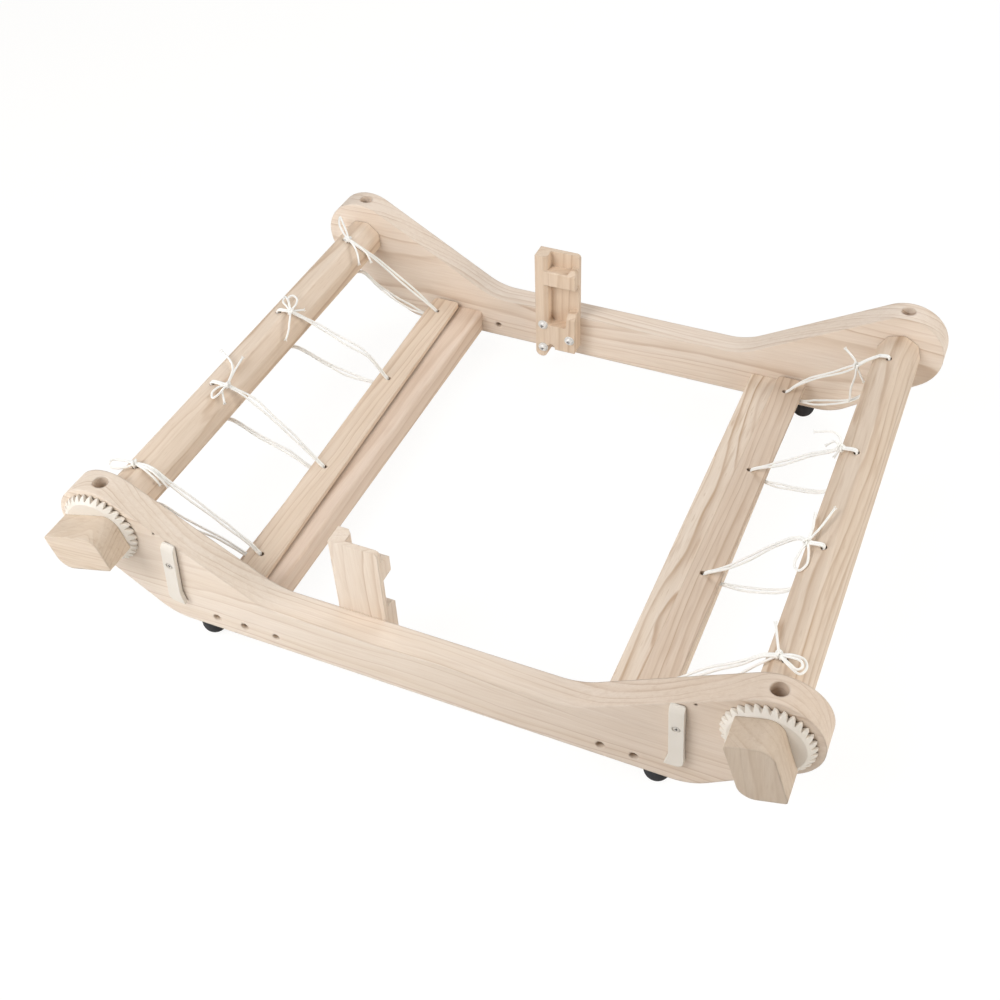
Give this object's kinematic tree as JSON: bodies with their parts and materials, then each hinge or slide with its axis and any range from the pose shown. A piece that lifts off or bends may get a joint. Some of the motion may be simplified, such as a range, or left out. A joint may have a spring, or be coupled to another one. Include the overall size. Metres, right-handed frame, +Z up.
{
  "type": "tabletop rigid heddle loom",
  "caption": "Wooden tabletop loom frame with ratcheted cloth and warp rollers, turning handles, swinging pawls, heddle blocks and warp sticks tied on with cotton cord.",
  "frame": {"origin": "on the table, under the middle of the whole loom's box, handles included", "axes": "+X from the weaver towards the back, +Y towards the weaver's left, away from the handles, +Z up"},
  "size_m": [0.63, 0.5135, 0.143],
  "materials": {
    "pine": "sanded, unfinished",
    "pale_wood": "sanded, unfinished",
    "white_nylon": "satin",
    "cotton_cord": "twisted cotton",
    "black_rubber": "matt",
    "steel": "zinc plated"
  },
  "bodies": {
    "frame": {"right_side": "pine", "left_side": "pine", "front_rail": "pine", "back_rail": "pine", "rail_screws": "steel", "front_pawl_screw": "steel", "back_pawl_screw": "steel", "right_heddle_block": "pale_wood", "left_heddle_block": "pale_wood", "block_screws": "steel", "block_washers": "steel", "front_tie_1": "cotton_cord", "front_tie_2": "cotton_cord", "front_tie_3": "cotton_cord", "front_tie_4": "cotton_cord", "back_tie_1": "cotton_cord", "back_tie_2": "cotton_cord", "back_tie_3": "cotton_cord", "back_tie_4": "cotton_cord", "front_right_foot": "black_rubber", "front_left_foot": "black_rubber", "back_right_foot": "black_rubber", "back_left_foot": "black_rubber", "foot_screws": "steel"},
    "front_roller": {"front_roller": "pine", "front_ratchet": "white_nylon", "front_handle": "pale_wood", "front_hanger_bolt": "steel", "front_ratchet_screws": "steel"},
    "front_pawl": {"front_pawl": "white_nylon"},
    "front_stick": {"front_warp_stick": "pale_wood"},
    "back_roller": {"back_roller": "pine", "back_ratchet": "white_nylon", "back_handle": "pale_wood", "back_hanger_bolt": "steel", "back_ratchet_screws": "steel"},
    "back_pawl": {"back_pawl": "white_nylon"},
    "back_stick": {"back_warp_stick": "pale_wood"}
  },
  "joints": [
    {"name": "front_roller_turn", "type": "hinge", "parent": "frame", "child": "front_roller", "pos_m": [-0.2755, 0.01675, 0.105], "axis": [0, -1, 0], "continuous": true, "deforming": ["front_tie_1", "front_tie_2", "front_tie_3", "front_tie_4"]},
    {"name": "front_pawl_swing", "type": "hinge", "parent": "frame", "child": "front_pawl", "pos_m": [-0.2125, -0.22595, 0.0865], "axis": [0, -1, 0], "range_deg": [-65, 221]},
    {"name": "front_stick_lift", "type": "slide", "parent": "frame", "child": "front_stick", "axis": [0, 0, 1], "range_m": [0, 0.055], "deforming": ["front_tie_1", "front_tie_2", "front_tie_3", "front_tie_4"]},
    {"name": "back_roller_turn", "type": "hinge", "parent": "frame", "child": "back_roller", "pos_m": [0.2755, 0.01675, 0.105], "axis": [0, 1, 0], "continuous": true, "deforming": ["back_tie_1", "back_tie_2", "back_tie_3", "back_tie_4"]},
    {"name": "back_pawl_swing", "type": "hinge", "parent": "frame", "child": "back_pawl", "pos_m": [0.2125, -0.22595, 0.0865], "axis": [0, 1, 0], "range_deg": [-68, 218]},
    {"name": "back_stick_lift", "type": "slide", "parent": "frame", "child": "back_stick", "axis": [0, 0, 1], "range_m": [0, 0.055], "deforming": ["back_tie_1", "back_tie_2", "back_tie_3", "back_tie_4"]}
  ]
}
